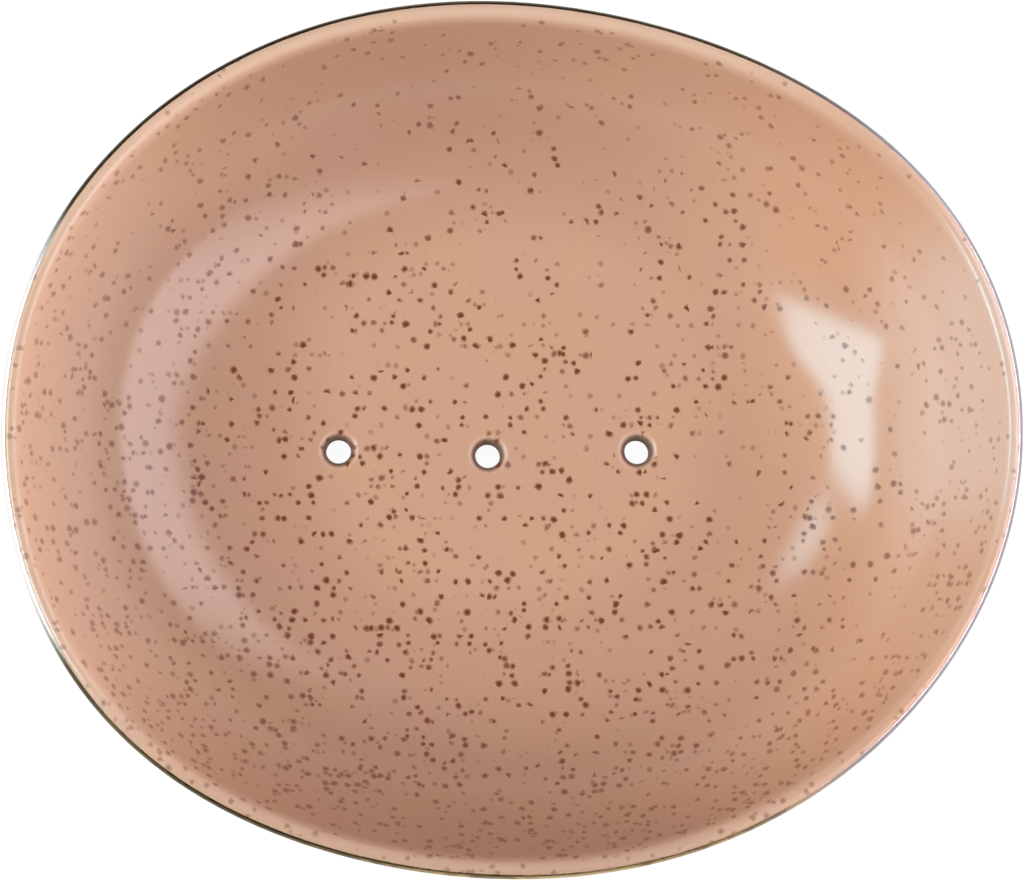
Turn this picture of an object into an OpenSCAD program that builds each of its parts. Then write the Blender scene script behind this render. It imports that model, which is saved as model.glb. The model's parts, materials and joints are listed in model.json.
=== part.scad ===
/* [Dish] */
// Length from lip edge to lip edge
dish_length = 140; // [120:1:180]
// Width from lip edge to lip edge
dish_width = 120.5; // [104:0.5:160]
// Height from the table to the top of the lip
dish_height = 31; // [26:0.5:40]

/* [Shell] */
// Thickness of the floor, glaze included
floor_thickness = 5; // [4:0.1:6]
// Thickness of the wall where it turns over at the lip, glaze included
lip_thickness = 2.5; // [2.2:0.1:4]
// Share of the plan that the flat floor takes
flat_floor_share = 0.42; // [0.38:0.01:0.48]
// Share of the rise that the last steep turn up to the lip takes
steep_turn_share = 0.25; // [0:0.01:0.4]

/* [Glaze] */
// Thickness of the glaze coat
glaze_thickness = 0.35; // [0.2:0.05:0.6]

/* [Gilt rim] */
// Thickness of the fired gold line
gilt_thickness = 0.1; // [0.05:0.01:0.2]
// Angle round the lip, up from its widest line, at which the gold line starts
gilt_top_angle = 48; // [30:1:70]

/* [Drain holes] */
// Number of drain holes in the row
hole_count = 3; // [2:1:3]
// Diameter of a glazed drain hole
hole_diameter = 3.5; // [3:0.1:4.5]
// Distance between neighbouring holes
hole_pitch = 21; // [14:0.1:21.2]
// How far the row lies to the left of the middle
hole_row_left_shift = 3; // [0:0.1:3]
// How far the row lies in front of the middle
hole_row_front_shift = 0.4; // [0:0.1:1]
// How far the middle of the row bows further towards the front
hole_row_bow = 0.6; // [0:0.1:1]
// Radius of the rounded mouth of a hole
hole_mouth_radius = 1.3; // [0.8:0.1:1.5]

/* [Feet] */
// Height of the feet under the flat floor
foot_height = 4.5; // [3:0.1:6]
// Diameter of a foot at its widest, where it joins the dish
foot_root_diameter = 14; // [12:0.5:16]
// Diameter of a foot at its lowest
foot_tip_diameter = 11; // [8:0.5:12]
// Radius of the edge round the flat tip of a foot
foot_edge_radius = 1.2; // [0.5:0.1:2]
// Distance between the feet along the length
foot_spacing_length = 58; // [50:1:60]
// Distance between the feet across the width
foot_spacing_width = 46; // [40:1:48]

/* [Hidden] */
$fn = 64;

// How far a cut runs past the surface that it cuts
overrun = 1;
// How far a foot's blank runs up into the floor before it is trimmed to the underside
foot_rooting = 3;
// How far the rounding of a hole's mouth stands over the floor, which leaves a crisp edge
mouth_crown = 0.06;

// The hand-formed outline departs from an ellipse by a few slow waves.
// Each row holds the waves in one turn, their height as a share of the radius, and their start angle.
outline_wave_shares = [
    [1, 0.008, -167],
    [2, 0.0022, -86],
    [3, 0.0075, 24],
    [4, 0.0073, 140],
    [5, 0.0017, 56],
    [6, 0.0019, -111]
];

// Powers of the two terms that make the rise of the wall
bowl_power = 2;
steep_power = 6;

// Steps of the shell's surface: round the outline, up the wall, and over the four parts of the lip
turn_steps = 72;
wall_steps = 10;
crest_inner_steps = 3;
crest_outer_steps = 2;
gilt_upper_steps = 2;
gilt_lower_steps = 1;

lip_radius = lip_thickness / 2;
floor_height = foot_height + floor_thickness;
mid_floor_height = foot_height + floor_thickness / 2;
mid_lip_height = dish_height - lip_radius;
mid_rise = mid_lip_height - mid_floor_height;
// Half length and half width of the line that runs along the middle of the lip
crest_half = [dish_length, dish_width] / 2 - [1, 1] * (lip_radius + gilt_thickness);
crest_radius = (crest_half.x + crest_half.y) / 2;

hole_radius = hole_diameter / 2;
mouth_centre_radius = hole_radius + hole_mouth_radius;
mouth_centre_height = floor_height - hole_mouth_radius + mouth_crown;

clay_colour = "tan";
glaze_colour = "rosybrown";
gilt_colour = "goldenrod";

// Outline of the dish, scaled and centred so that it just fills a square two units wide

function wave_radius(angle) =
    1 + [for (wave = outline_wave_shares) wave[1] * cos(wave[0] * angle - wave[2])]
        * [for (wave = outline_wave_shares) 1];

waved_outline = [
    for (i = [0 : turn_steps - 1])
        let (angle = 360 * i / turn_steps) wave_radius(angle) * [cos(angle), sin(angle)]
];
outline_low = [min([for (p = waved_outline) p.x]), min([for (p = waved_outline) p.y])];
outline_high = [max([for (p = waved_outline) p.x]), max([for (p = waved_outline) p.y])];
unit_outline = [
    for (p = waved_outline)
        let (q = 2 * p - outline_high - outline_low, span = outline_high - outline_low)
            [q.x / span.x, q.y / span.y]
];

// Section of the shell. The wall follows a middle line, and climb runs along it
// from 0 at the edge of the flat floor to 1 at the lip.

function rise_share(climb) =
    (1 - steep_turn_share) * pow(climb, bowl_power) + steep_turn_share * pow(climb, steep_power);

function rise_rate(climb) =
    (1 - steep_turn_share) * bowl_power * pow(climb, bowl_power - 1)
    + steep_turn_share * steep_power * pow(climb, steep_power - 1);

function slope(climb) =
    atan(mid_rise * rise_rate(climb) / (crest_radius * (1 - flat_floor_share)));

function half_thickness(climb) =
    (floor_thickness + (lip_thickness - floor_thickness) * climb) / 2;

// A point of the section is its share of the way from the middle to the lip's middle line,
// then its distance outwards from there, then its height.

function wall_point(climb, side, depth) =
    let (offset = side * (half_thickness(climb) - depth), tilt = slope(climb))
        [
            flat_floor_share + (1 - flat_floor_share) * climb,
            -offset * sin(tilt),
            mid_floor_height + mid_rise * rise_share(climb) + offset * cos(tilt)
        ];

function lip_point(angle, depth) =
    [1, (lip_radius - depth) * cos(angle), mid_lip_height + (lip_radius - depth) * sin(angle)];

// The lip runs from the inner wall over its crest and its widest line to the outer wall.
// The two glazes meet at the widest line, under the gold.
lip_start_angle = 90 + slope(1);
crest_angle = 90;
widest_angle = 0;
lip_end_angle = slope(1) - 90;

function spread(from, to, steps) = [for (i = [0 : steps - 1]) from + (to - from) * i / steps];

lip_angles = concat(
    spread(lip_start_angle, crest_angle, crest_inner_steps),
    spread(crest_angle, gilt_top_angle, crest_outer_steps),
    spread(gilt_top_angle, widest_angle, gilt_upper_steps),
    spread(widest_angle, lip_end_angle, gilt_lower_steps),
    [lip_end_angle]
);
gilt_first = wall_steps + crest_inner_steps + crest_outer_steps;
seam_index = gilt_first + gilt_upper_steps;
gilt_last = seam_index + gilt_lower_steps;
last_index = gilt_last + wall_steps;

// The whole section, from the floor's edge over the lip to the underside's edge, at a depth below the glaze

function section(depth) = concat(
    [for (i = [0 : wall_steps - 1]) wall_point(i / wall_steps, 1, depth)],
    [for (angle = lip_angles) lip_point(angle, depth)],
    [for (i = [wall_steps - 1 : -1 : 0]) wall_point(i / wall_steps, -1, depth)]
);

function part_of(points, first, last) = [for (i = [first : last]) points[i]];

function ring(point) =
    let (reach = point[0] * crest_half + point[1] * [1, 1])
        [for (p = unit_outline) [p.x * reach.x, p.y * reach.y, point[2]]];

function ring_points(points) = [for (point = points) each ring(point)];

// Two triangles join each step of one ring to the next ring, always along the same diagonal,
// so that two solids that share a surface share its triangles too

function band(low, high, facing_in) = [
    for (i = [0 : turn_steps - 1])
        let (
            j = (i + 1) % turn_steps,
            a = low * turn_steps + i,
            b = low * turn_steps + j,
            c = high * turn_steps + j,
            d = high * turn_steps + i
        )
            each (facing_in ? [[a, c, b], [a, d, c]] : [[a, b, c], [a, c, d]])
];

function cap(at, facing_in) = [
    [for (i = [0 : turn_steps - 1]) at * turn_steps + (facing_in ? i : turn_steps - 1 - i)]
];

// A closed solid between the floor and the underside, or the full block under the outer surface

module closed_shell(points) {
    count = len(points);
    polyhedron(
        ring_points(points),
        concat(
            [for (i = [0 : count - 2]) each band(i, i + 1, false)],
            cap(0, false),
            cap(count - 1, true)
        )
    );
}

// A coat between two matching surfaces. A coat that covers the floor or the underside is closed there
// by two caps, and an open one, such as the gold line, by a band.

module coat(over, under, capped_first, capped_last) {
    count = len(over);
    polyhedron(
        ring_points(concat(over, under)),
        concat(
            [for (i = [0 : count - 2]) each band(i, i + 1, false)],
            [for (i = [0 : count - 2]) each band(count + i, count + i + 1, true)],
            capped_first ? concat(cap(0, false), cap(count, true)) : band(0, count, true),
            capped_last
                ? concat(cap(count - 1, true), cap(2 * count - 1, false))
                : band(count - 1, 2 * count - 1, false)
        )
    );
}

// A drain hole's space with its rounded mouth, at a depth below the glaze

module drain_space(depth, bottom, top) {
    wall = hole_radius + depth;
    rotate_extrude()
        difference() {
            polygon([
                [0, bottom],
                [wall, bottom],
                [wall, mouth_centre_height],
                [mouth_centre_radius, mouth_centre_height],
                [mouth_centre_radius, top],
                [0, top]
            ]);
            translate([mouth_centre_radius, mouth_centre_height])
                circle(hole_mouth_radius - depth);
        }
}

module at_drain_holes() {
    half_count = (hole_count - 1) / 2;
    for (i = [0 : hole_count - 1]) {
        place = i / half_count - 1;
        translate([
            place * half_count * hole_pitch - hole_row_left_shift,
            (pow(place, 2) - 1) * hole_row_bow - hole_row_front_shift,
            0
        ])
            children();
    }
}

module drain_cuts(depth) {
    at_drain_holes()
        drain_space(depth, foot_height - overrun, floor_height + overrun);
}

module foot_blank(side_x, side_y) {
    tip = foot_tip_diameter / 2;
    translate([side_x * foot_spacing_length / 2, side_y * foot_spacing_width / 2, 0])
        rotate_extrude() {
            polygon([
                [0, 0],
                [tip - foot_edge_radius, 0],
                [tip, foot_edge_radius],
                [foot_root_diameter / 2, foot_height + foot_rooting],
                [0, foot_height + foot_rooting]
            ]);
            translate([tip - foot_edge_radius, foot_edge_radius])
                circle(foot_edge_radius);
        }
}

module foot(side_x, side_y) {
    color(clay_colour)
        difference() {
            foot_blank(side_x, side_y);
            closed_shell(part_of(section(glaze_thickness), gilt_last, last_index));
        }
}

module bowl_body() {
    color(clay_colour)
        difference() {
            closed_shell(section(glaze_thickness));
            drain_cuts(glaze_thickness);
        }
}

module inner_glaze() {
    color(glaze_colour)
        difference() {
            union() {
                coat(
                    part_of(section(0), 0, seam_index),
                    part_of(section(glaze_thickness), 0, seam_index),
                    true,
                    false
                );
                at_drain_holes()
                    drain_space(glaze_thickness, foot_height, floor_height - glaze_thickness / 2);
            }
            drain_cuts(0);
        }
}

module outer_glaze() {
    color(glaze_colour)
        difference() {
            coat(
                part_of(section(0), seam_index, last_index),
                part_of(section(glaze_thickness), seam_index, last_index),
                false,
                true
            );
            drain_cuts(glaze_thickness);
            for (side_x = [-1, 1], side_y = [-1, 1])
                foot_blank(side_x, side_y);
        }
}

module gilt_rim() {
    color(gilt_colour)
        coat(
            part_of(section(-gilt_thickness), gilt_first, gilt_last),
            part_of(section(0), gilt_first, gilt_last),
            false,
            false
        );
}

module foot_front_left() {
    foot(-1, -1);
}

module foot_front_right() {
    foot(1, -1);
}

module foot_back_left() {
    foot(-1, 1);
}

module foot_back_right() {
    foot(1, 1);
}

bowl_body();
inner_glaze();
outer_glaze();
gilt_rim();
foot_front_left();
foot_front_right();
foot_back_left();
foot_back_right();
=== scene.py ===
"""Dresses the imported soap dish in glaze, gold line and clay feet, and sets it in a plain studio."""

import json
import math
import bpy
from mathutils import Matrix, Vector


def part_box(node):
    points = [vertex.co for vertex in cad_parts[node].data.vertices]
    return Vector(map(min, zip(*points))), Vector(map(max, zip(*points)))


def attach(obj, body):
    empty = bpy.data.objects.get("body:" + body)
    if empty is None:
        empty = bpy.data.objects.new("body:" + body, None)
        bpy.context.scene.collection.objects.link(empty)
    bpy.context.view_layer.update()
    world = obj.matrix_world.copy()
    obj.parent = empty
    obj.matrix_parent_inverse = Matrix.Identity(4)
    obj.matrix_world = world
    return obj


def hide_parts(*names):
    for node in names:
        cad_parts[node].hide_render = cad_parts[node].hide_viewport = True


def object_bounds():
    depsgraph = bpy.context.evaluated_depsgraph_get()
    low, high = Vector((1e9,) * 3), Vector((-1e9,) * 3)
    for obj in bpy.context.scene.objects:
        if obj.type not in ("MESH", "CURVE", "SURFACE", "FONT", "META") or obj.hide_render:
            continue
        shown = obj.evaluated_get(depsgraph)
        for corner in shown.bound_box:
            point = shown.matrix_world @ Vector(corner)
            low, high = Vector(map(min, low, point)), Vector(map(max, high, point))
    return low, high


bl_info = {
    "name": "Glazed Soap Dish",
    "version": (1, 0, 0),
    "blender": (4, 5, 0),
    "location": "View3D > Sidebar > Soap Dish",
    "description": "Builds the glaze, gold line, clay feet and studio of an oval soap dish",
    "category": "Object",
}

from contextlib import contextmanager

import bmesh
import bpy
from mathutils import Matrix, Vector, noise
from mathutils.geometry import delaunay_2d_cdt

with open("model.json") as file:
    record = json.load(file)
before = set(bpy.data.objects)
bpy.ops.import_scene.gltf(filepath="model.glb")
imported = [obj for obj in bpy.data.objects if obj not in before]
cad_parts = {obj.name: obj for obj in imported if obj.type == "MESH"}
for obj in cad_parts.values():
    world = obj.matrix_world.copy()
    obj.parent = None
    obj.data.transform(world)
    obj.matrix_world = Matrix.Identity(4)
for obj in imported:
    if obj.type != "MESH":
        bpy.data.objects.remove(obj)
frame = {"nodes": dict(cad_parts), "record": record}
CAD_LOW, CAD_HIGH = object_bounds()

MM = 0.001
BODY = "root"
GLAZE_SLOT = "speckled_glaze"
CLAY_SLOT = "stoneware"
GILT_SLOT = "gilt"

INNER_LOW, INNER_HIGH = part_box("inner_glaze")
CLAY_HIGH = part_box("bowl_body")[1]
GILT_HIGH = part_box("gilt_rim")[1]
MOUNTS = {mount["name"]: mount for mount in frame["record"]["mounts"]}
DRAIN_HOLES = [mount for name, mount in MOUNTS.items() if name.startswith("drain_hole")]
HOLE_CENTRES = [Vector(hole["pos_m"][:2]) for hole in DRAIN_HOLES]
HOLE_RADIUS = DRAIN_HOLES[0]["dims"]["r_mm"] * MM
FOOT_NAMES = ("front_left", "front_right", "back_left", "back_right")

# The hand-formed outline departs from an ellipse by a few slow waves.
# Each row holds the waves in one turn, their height as a share of the radius, and their start angle.
OUTLINE_WAVES = (
    (1, 0.008, -167),
    (2, 0.0022, -86),
    (3, 0.0075, 24),
    (4, 0.0073, 140),
    (5, 0.0017, 56),
    (6, 0.0019, -111),
)
BOWL_POWER = 2
STEEP_POWER = 6

WELD = 1e-6
CREASE_ANGLE = math.radians(40)
FLOOR_SPACING = 1.5 * MM
OUTLINE_STEPS = 264
WALL_STEPS = 44
LIP_STEPS = 22
MOUTH_STEPS = 12
HOLE_STEPS = 56
HOLE_WALL_STEPS = 4

# The gold line is a flat dome: its steps round and across, how square the dome is, and how far its
# underside sinks into the glaze, as a share of its thickness
GILT_OUTLINE_STEPS = 528
GILT_STEPS = 14
GILT_SQUARENESS = 6
GILT_SINK = -0.6
# Where in the noise the brush's wander starts, and its pace, at the line's two edges
BRUSH_ABOVE = (0.0, 5.0)
BRUSH_BELOW = (7.0, 6.0)
BRUSH_DETAIL = 3.0

# The feet's steps, their flare, and the slow wobble of their hand-formed outline
FOOT_STEPS = 112
FOOT_EDGE_STEPS = 8
FOOT_SIDE_STEPS = 12
FLARE_SHARPNESS = 5
FOOT_ROOTING = 0.9 * MM
FOOT_WOBBLE = 0.02
FOOT_WOBBLE_PACE = 1.5
FOOT_WOBBLE_GAP = 3

# Pace at which the edge of the wiped clay round a foot wanders
WIPE_PACE = 1.3

# The light from the right is a little bluer than the light from the left. The mirrored softboxes have
# tints of their own, because the photograph compresses its highlights.
LEFT_TINT = (0.88, 0.957, 1.0)
RIGHT_TINT = (0.806, 0.861, 1.0)
LEFT_MIRROR_TINT = (0.5, 0.84, 1.0)
RIGHT_MIRROR_TINT = (1.0, 0.86, 0.98)
NO_TINT = (1.0, 1.0, 1.0)

CLAY_LIGHT = (0.50, 0.36, 0.26, 1)
CLAY_DARK = (0.42, 0.29, 0.20, 1)
CLAY_GRIT = (0.16, 0.09, 0.05, 1)
FLOOR_LIGHT = (0.82, 0.82, 0.82, 1)
FLOOR_DARK = (0.80, 0.80, 0.80, 1)
FLOOR_SEEN = (0.12, 0.12, 0.12, 1)


# Sizes and colours that a user would change


def length(name, text, default):
    """A size in metres."""
    return bpy.props.FloatProperty(name=name, description=text, default=default, unit="LENGTH", precision=5)


def share(name, text, default):
    """A number from nought to one."""
    return bpy.props.FloatProperty(name=name, description=text, default=default, min=0, max=1)


def number(name, text, default):
    """A plain number."""
    return bpy.props.FloatProperty(name=name, description=text, default=default)


def angle(name, text, degrees):
    """An angle, given in degrees."""
    turn = math.radians(degrees)
    return bpy.props.FloatProperty(name=name, description=text, default=turn, unit="ROTATION")


def colour(name, text, default):
    """A colour in linear light."""
    return bpy.props.FloatVectorProperty(
        name=name, description=text, default=default, size=3, min=0, max=1, subtype="COLOR"
    )


class DishShape(bpy.types.PropertyGroup):
    """Sizes of the glazed shell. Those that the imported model's boxes give come from there."""

    half_length: length("Half length", "From the middle to the lip's edge, along the dish", GILT_HIGH.x)
    half_width: length("Half width", "From the middle to the lip's edge, across the dish", GILT_HIGH.y)
    height: length("Height", "From the table to the top of the lip", INNER_HIGH.z)
    foot_height: length("Foot height", "From the table to the flat underside", INNER_LOW.z)
    glaze_thickness: length("Glaze thickness", "Thickness of the glaze coat", INNER_HIGH.x - CLAY_HIGH.x)
    gilt_thickness: length("Gilt thickness", "Thickness of the gold line", GILT_HIGH.x - INNER_HIGH.x)
    floor_thickness: length("Floor thickness", "Thickness of the floor, glaze included", 5.0 * MM)
    lip_thickness: length("Lip thickness", "Thickness of the wall at the lip, glaze included", 2.5 * MM)
    flat_floor_share: share("Flat floor share", "Share of the plan that the flat floor takes", 0.42)
    steep_turn_share: share("Steep turn share", "Share of the rise in the last steep turn", 0.25)
    mouth_radius: length("Mouth radius", "Radius of the rounded mouth of a drain hole", 1.3 * MM)
    hand_wobble: length("Hand wobble", "How far the hand-formed surface wanders", 0.05 * MM)
    wobble_size: length("Wobble size", "Length of one wander of the surface", 17.0 * MM)


class DishFeet(bpy.types.PropertyGroup):
    """Sizes of the bare clay feet."""

    root_radius: length("Root radius", "Radius of a foot where it joins the dish", 6.7 * MM)
    tip_radius: length("Tip radius", "Radius of a foot near the table", 5.5 * MM)
    edge_radius: length("Edge radius", "Radius of the edge round the flat tip", 1.2 * MM)
    flare: length("Flare", "How far the joint with the dish spreads", 0.75 * MM)
    bare_margin: length("Bare margin", "Width of the wiped clay round a foot", 1.3 * MM)


class DishGlaze(bpy.types.PropertyGroup):
    """Colours and specks of the glaze, with the colours of its painted light, shade and reflection."""

    ground: colour("Ground", "Colour of the glaze", (0.638, 0.355, 0.234))
    warm: colour("Warm cloud", "Colour of the tanner clouds in the glaze", (0.646, 0.363, 0.222))
    # Partly thin glaze and partly a painted highlight round a drain hole's mouth
    halo: colour("Halo", "Colour where the glaze turns down into a drain hole", (0.720, 0.430, 0.290))
    # Partly glaze breaking brown and partly painted shade inside a drain hole
    edge: colour("Thin edge", "Colour of the thin glaze inside a drain hole", (0.230, 0.125, 0.080))
    speck: colour("Speck", "Colour of the iron specks", (0.160, 0.030, 0.003))
    # Painted warm light on the right wall
    painted_warm_light: colour("Amber", "Colour of the warmer glaze on the right wall", (0.745, 0.385, 0.222))
    # Painted shade on the front and back walls and at the foot of the wall
    painted_shade: colour("Deep", "Colour of thick glaze on the front and back walls", (0.270, 0.115, 0.072))
    # Painted reflection near the rims of the end walls
    pale: colour("Pale", "Colour where the glaze ran thin on the end walls", (0.800, 0.620, 0.520))
    # Partly thin glaze and partly painted light on the lip's crest
    crest: colour("Crest", "Colour of the thin glaze on the crest of the lip", (0.800, 0.530, 0.370))
    sheen: colour("Sheen", "Tint of the glaze's reflections", (0.760, 0.845, 0.826))
    roughness: share("Roughness", "Roughness of the glaze", 0.12)
    speck_radius: length("Speck radius", "Radius of the largest specks", 0.76 * MM)
    speck_spacing: length("Speck spacing", "Distance between the places where a speck may be", 1.1 * MM)


class DishGilt(bpy.types.PropertyGroup):
    """Place and colours of the gold line, with its painted reflections."""

    top_angle: angle("Top angle", "Angle up from the lip's widest line at which the gold starts", 54)
    bottom_angle: angle("Bottom angle", "Angle below the lip's widest line at which the gold ends", -24)
    wander: angle("Wander", "How far the brush wandered at the gold's edges", 5)
    gold: colour("Gold", "Colour of the polished gold", (0.800, 0.560, 0.270))
    # Partly gold burnt thin in clouds, and partly a painted dark reflection towards the back
    brown: colour("Burnt brown", "Colour where the gold is thin and burnt", (0.050, 0.030, 0.014))
    # Painted reflection: a greyish tint at the right end
    painted_grey_reflection: colour("Grey", "Colour of the worn gold at the right end", (0.420, 0.390, 0.400))
    # Painted reflection: a creamy tint at the left end
    painted_cream_reflection: colour("Cream", "Colour of the worn gold at the left end", (0.900, 0.850, 0.790))
    roughness: share("Roughness", "Roughness of the gold", 0.24)


class DishStudio(bpy.types.PropertyGroup):
    """Camera, lamps and background."""

    distance: length("Camera distance", "From the camera to the middle of the lip", 0.75)
    tilt_x: angle("Camera lean along", "Lean of the camera along the dish", -1.4)
    tilt_y: angle("Camera lean across", "Lean of the camera across the dish", -4.0)
    focal_length: number("Focal length", "Focal length in millimetres", 192.5)
    fill: number("Fill", "Strength of the even light from all round", 0.2)
    key: number("Key", "Brightness of the softbox on the left", 7.75)
    key_mirrored: number("Key mirrored", "Brightness at which the glaze mirrors the left softbox", 11.2)
    strip: number("Strip", "Brightness of the long softbox on the right", 2.93)
    strip_mirrored: number("Strip mirrored", "Brightness at which the glaze mirrors the right softbox", 5.0)
    wide_left: number("Left panel", "Brightness of the wide panel on the left", 1.17)
    wide_front: number("Front panel", "Brightness of the wide panel in front", 0.4)
    low_left: number("Low left panel", "Brightness of the low strip on the left", 3.9)
    low_right: number("Low right panel", "Brightness of the low strip on the right", 13.2)
    background: number("Background", "Brightness that the camera sees around the dish", 1.0)
    ceiling: share("Ceiling", "Share of that brightness that a mirror sees overhead", 0.1)


# Shape of the dish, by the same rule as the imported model's


def turns(steps):
    """Angles spaced evenly once round."""
    return [math.tau * step / steps for step in range(steps)]


def quarter_turns(steps):
    """Angles spaced evenly over a quarter turn, both ends included."""
    return [math.pi / 2 * step / steps for step in range(steps + 1)]


def way_out(turn):
    """The flat unit step outwards at an angle."""
    return Vector((math.cos(turn), math.sin(turn), 0))


def wave_radius(turn):
    """Radius of the hand-formed outline at an angle, before it is scaled."""
    return 1 + sum(
        height * math.cos(waves * turn - math.radians(start)) for waves, height, start in OUTLINE_WAVES
    )


def unit_outline(steps):
    """The outline's points, centred and scaled to fill a square two units wide."""
    points = [way_out(turn) * wave_radius(turn) for turn in turns(steps)]
    low = Vector((min(p.x for p in points), min(p.y for p in points)))
    high = Vector((max(p.x for p in points), max(p.y for p in points)))
    middle = (low + high) / 2
    half = (high - low) / 2
    return [Vector(((p.x - middle.x) / half.x, (p.y - middle.y) / half.y, 0)) for p in points]


class Section:
    """The shell's section. A point is its share of the way out to the lip's middle line, then its
    distance outwards from there, then its height."""

    def __init__(self, shape):
        self.shape = shape
        self.lip_radius = shape.lip_thickness / 2
        edge = self.lip_radius + shape.gilt_thickness
        self.half_x = shape.half_length - edge
        self.half_y = shape.half_width - edge
        self.mid_floor = shape.foot_height + shape.floor_thickness / 2
        self.mid_lip = shape.height - self.lip_radius
        self.rise = self.mid_lip - self.mid_floor
        self.run = (self.half_x + self.half_y) / 2 * (1 - shape.flat_floor_share)
        self.lip_start = math.pi / 2 + self.slope(1)
        self.lip_end = self.slope(1) - math.pi / 2

    def slope(self, climb):
        """Angle of the wall's middle line, with climb from 0 at the flat floor to 1 at the lip."""
        steep = self.shape.steep_turn_share
        bowl = (1 - steep) * BOWL_POWER * climb ** (BOWL_POWER - 1)
        turn = steep * STEEP_POWER * climb ** (STEEP_POWER - 1)
        return math.atan(self.rise * (bowl + turn) / self.run)

    def wall(self, climb, side):
        """A point on the inner wall, side 1, or the outer wall, side -1."""
        shape = self.shape
        steep = shape.steep_turn_share
        rise = (1 - steep) * climb**BOWL_POWER + steep * climb**STEEP_POWER
        thickness = shape.floor_thickness + (shape.lip_thickness - shape.floor_thickness) * climb
        offset = side * thickness / 2
        tilt = self.slope(climb)
        out = shape.flat_floor_share + (1 - shape.flat_floor_share) * climb
        height = self.mid_floor + self.rise * rise + offset * math.cos(tilt)
        return Vector((out, -offset * math.sin(tilt), height))

    def profile(self, side, lip_start):
        """One side of the wall, from the flat floor over its half of the lip to the widest line."""
        points = [self.wall(step / WALL_STEPS, side) for step in range(WALL_STEPS)]
        for step in range(LIP_STEPS + 1):
            turn = lip_start * (1 - step / LIP_STEPS)
            height = self.mid_lip + self.lip_radius * math.sin(turn)
            points.append(Vector((1, self.lip_radius * math.cos(turn), height)))
        return points

    def inner(self):
        """The inner wall, the crest of the lip and its outside down to the widest line."""
        return self.profile(1, self.lip_start)

    def outer(self):
        """The outer wall up to the widest line of the lip."""
        return self.profile(-1, self.lip_end)


# Node helpers


def put(tree, kind, joined=(), **settings):
    """Adds a node. joined pairs an input's name or number with a value or another node's output."""
    node = tree.nodes.new(kind)
    for name, value in settings.items():
        setattr(node, name, value)
    for socket, value in dict(joined).items():
        if isinstance(value, bpy.types.NodeSocket):
            tree.links.new(value, node.inputs[socket])
        else:
            node.inputs[socket].default_value = value
    return node


def calc(tree, operation, *values):
    """A Math node's result."""
    return put(tree, "ShaderNodeMath", enumerate(values), operation=operation).outputs[0]


def product(tree, *values):
    """All the values multiplied."""
    result = values[0]
    for value in values[1:]:
        result = calc(tree, "MULTIPLY", result, value)
    return result


def line(tree, value, slope, start):
    """A straight line's height over a value."""
    return calc(tree, "MULTIPLY_ADD", value, slope, start)


def vector_calc(tree, operation, *values):
    """A Vector Math node's outputs."""
    return put(tree, "ShaderNodeVectorMath", enumerate(values), operation=operation).outputs


def split(tree, vector):
    """The three parts of a vector."""
    return put(tree, "ShaderNodeSeparateXYZ", {0: vector}).outputs


def combined(tree, **parts):
    """A vector from its parts."""
    return put(tree, "ShaderNodeCombineXYZ", parts).outputs[0]


def noisy(tree, place, scale, detail):
    """A noise texture's outputs."""
    joined = {"Vector": place, "Scale": scale, "Detail": detail}
    return put(tree, "ShaderNodeTexNoise", joined, noise_dimensions="3D").outputs


def soft_step(tree, value, start, end, low=0.0, high=1.0):
    """Runs smoothly from low at start to high at end."""
    joined = {"Value": value, "From Min": start, "From Max": end, "To Min": low, "To Max": high}
    node = put(tree, "ShaderNodeMapRange", joined, interpolation_type="SMOOTHSTEP")
    return node.outputs["Result"]


def band(tree, place, row):
    """Runs smoothly between two places. A row holds the places in millimetres, then the value at each."""
    start, end, low, high = row
    return soft_step(tree, place, start * MM, end * MM, low, high)


def mixed(tree, factor, first, second):
    """The mixture of two colours."""
    node = put(tree, "ShaderNodeMix", {0: factor, 6: first, 7: second}, data_type="RGBA")
    return node.outputs[2]


def rgba(three):
    """A colour with full alpha."""
    return (*three, 1.0)


def node_group(name, kind, inputs, outputs):
    """A new node group with named inputs and outputs."""
    tree = bpy.data.node_groups.new(name, kind)
    for title, socket, *default in inputs:
        entry = tree.interface.new_socket(title, in_out="INPUT", socket_type=socket)
        if default:
            entry.default_value = default[0]
    for title, socket in outputs:
        tree.interface.new_socket(title, in_out="OUTPUT", socket_type=socket)
    return tree, put(tree, "NodeGroupInput").outputs


def shared(name, maker):
    """A node group that is built once."""
    return bpy.data.node_groups.get(name) or maker(name)


# Geometry trees


def sampled(tree, helper, index):
    """The place of one of a helper's points."""
    points = put(tree, "GeometryNodeObjectInfo", {"Object": helper}).outputs["Geometry"]
    place = put(tree, "GeometryNodeInputPosition").outputs[0]
    joined = {"Geometry": points, "Value": place, "Index": index}
    return put(tree, "GeometryNodeSampleIndex", joined, data_type="FLOAT_VECTOR").outputs["Value"]


def swept_grid(tree, source):
    """A grid with a column for each point of the outline and a row for each point of the section,
    with the outline's and section's points for each of its corners."""
    columns = calc(tree, "ADD", source["Columns"], 1)
    grid = put(tree, "GeometryNodeMeshGrid", {"Vertices X": columns, "Vertices Y": source["Rows"]})
    index = put(tree, "GeometryNodeInputIndex").outputs[0]
    column = calc(tree, "FLOOR", calc(tree, "DIVIDE", calc(tree, "ADD", index, 0.5), source["Rows"]))
    row = calc(tree, "SUBTRACT", index, product(tree, column, source["Rows"]))
    around = calc(tree, "FLOORED_MODULO", column, source["Columns"])
    outline = split(tree, sampled(tree, source["Outline"], around))
    section = split(tree, sampled(tree, source["Section"], row))
    return grid.outputs["Mesh"], outline, section, column


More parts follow.
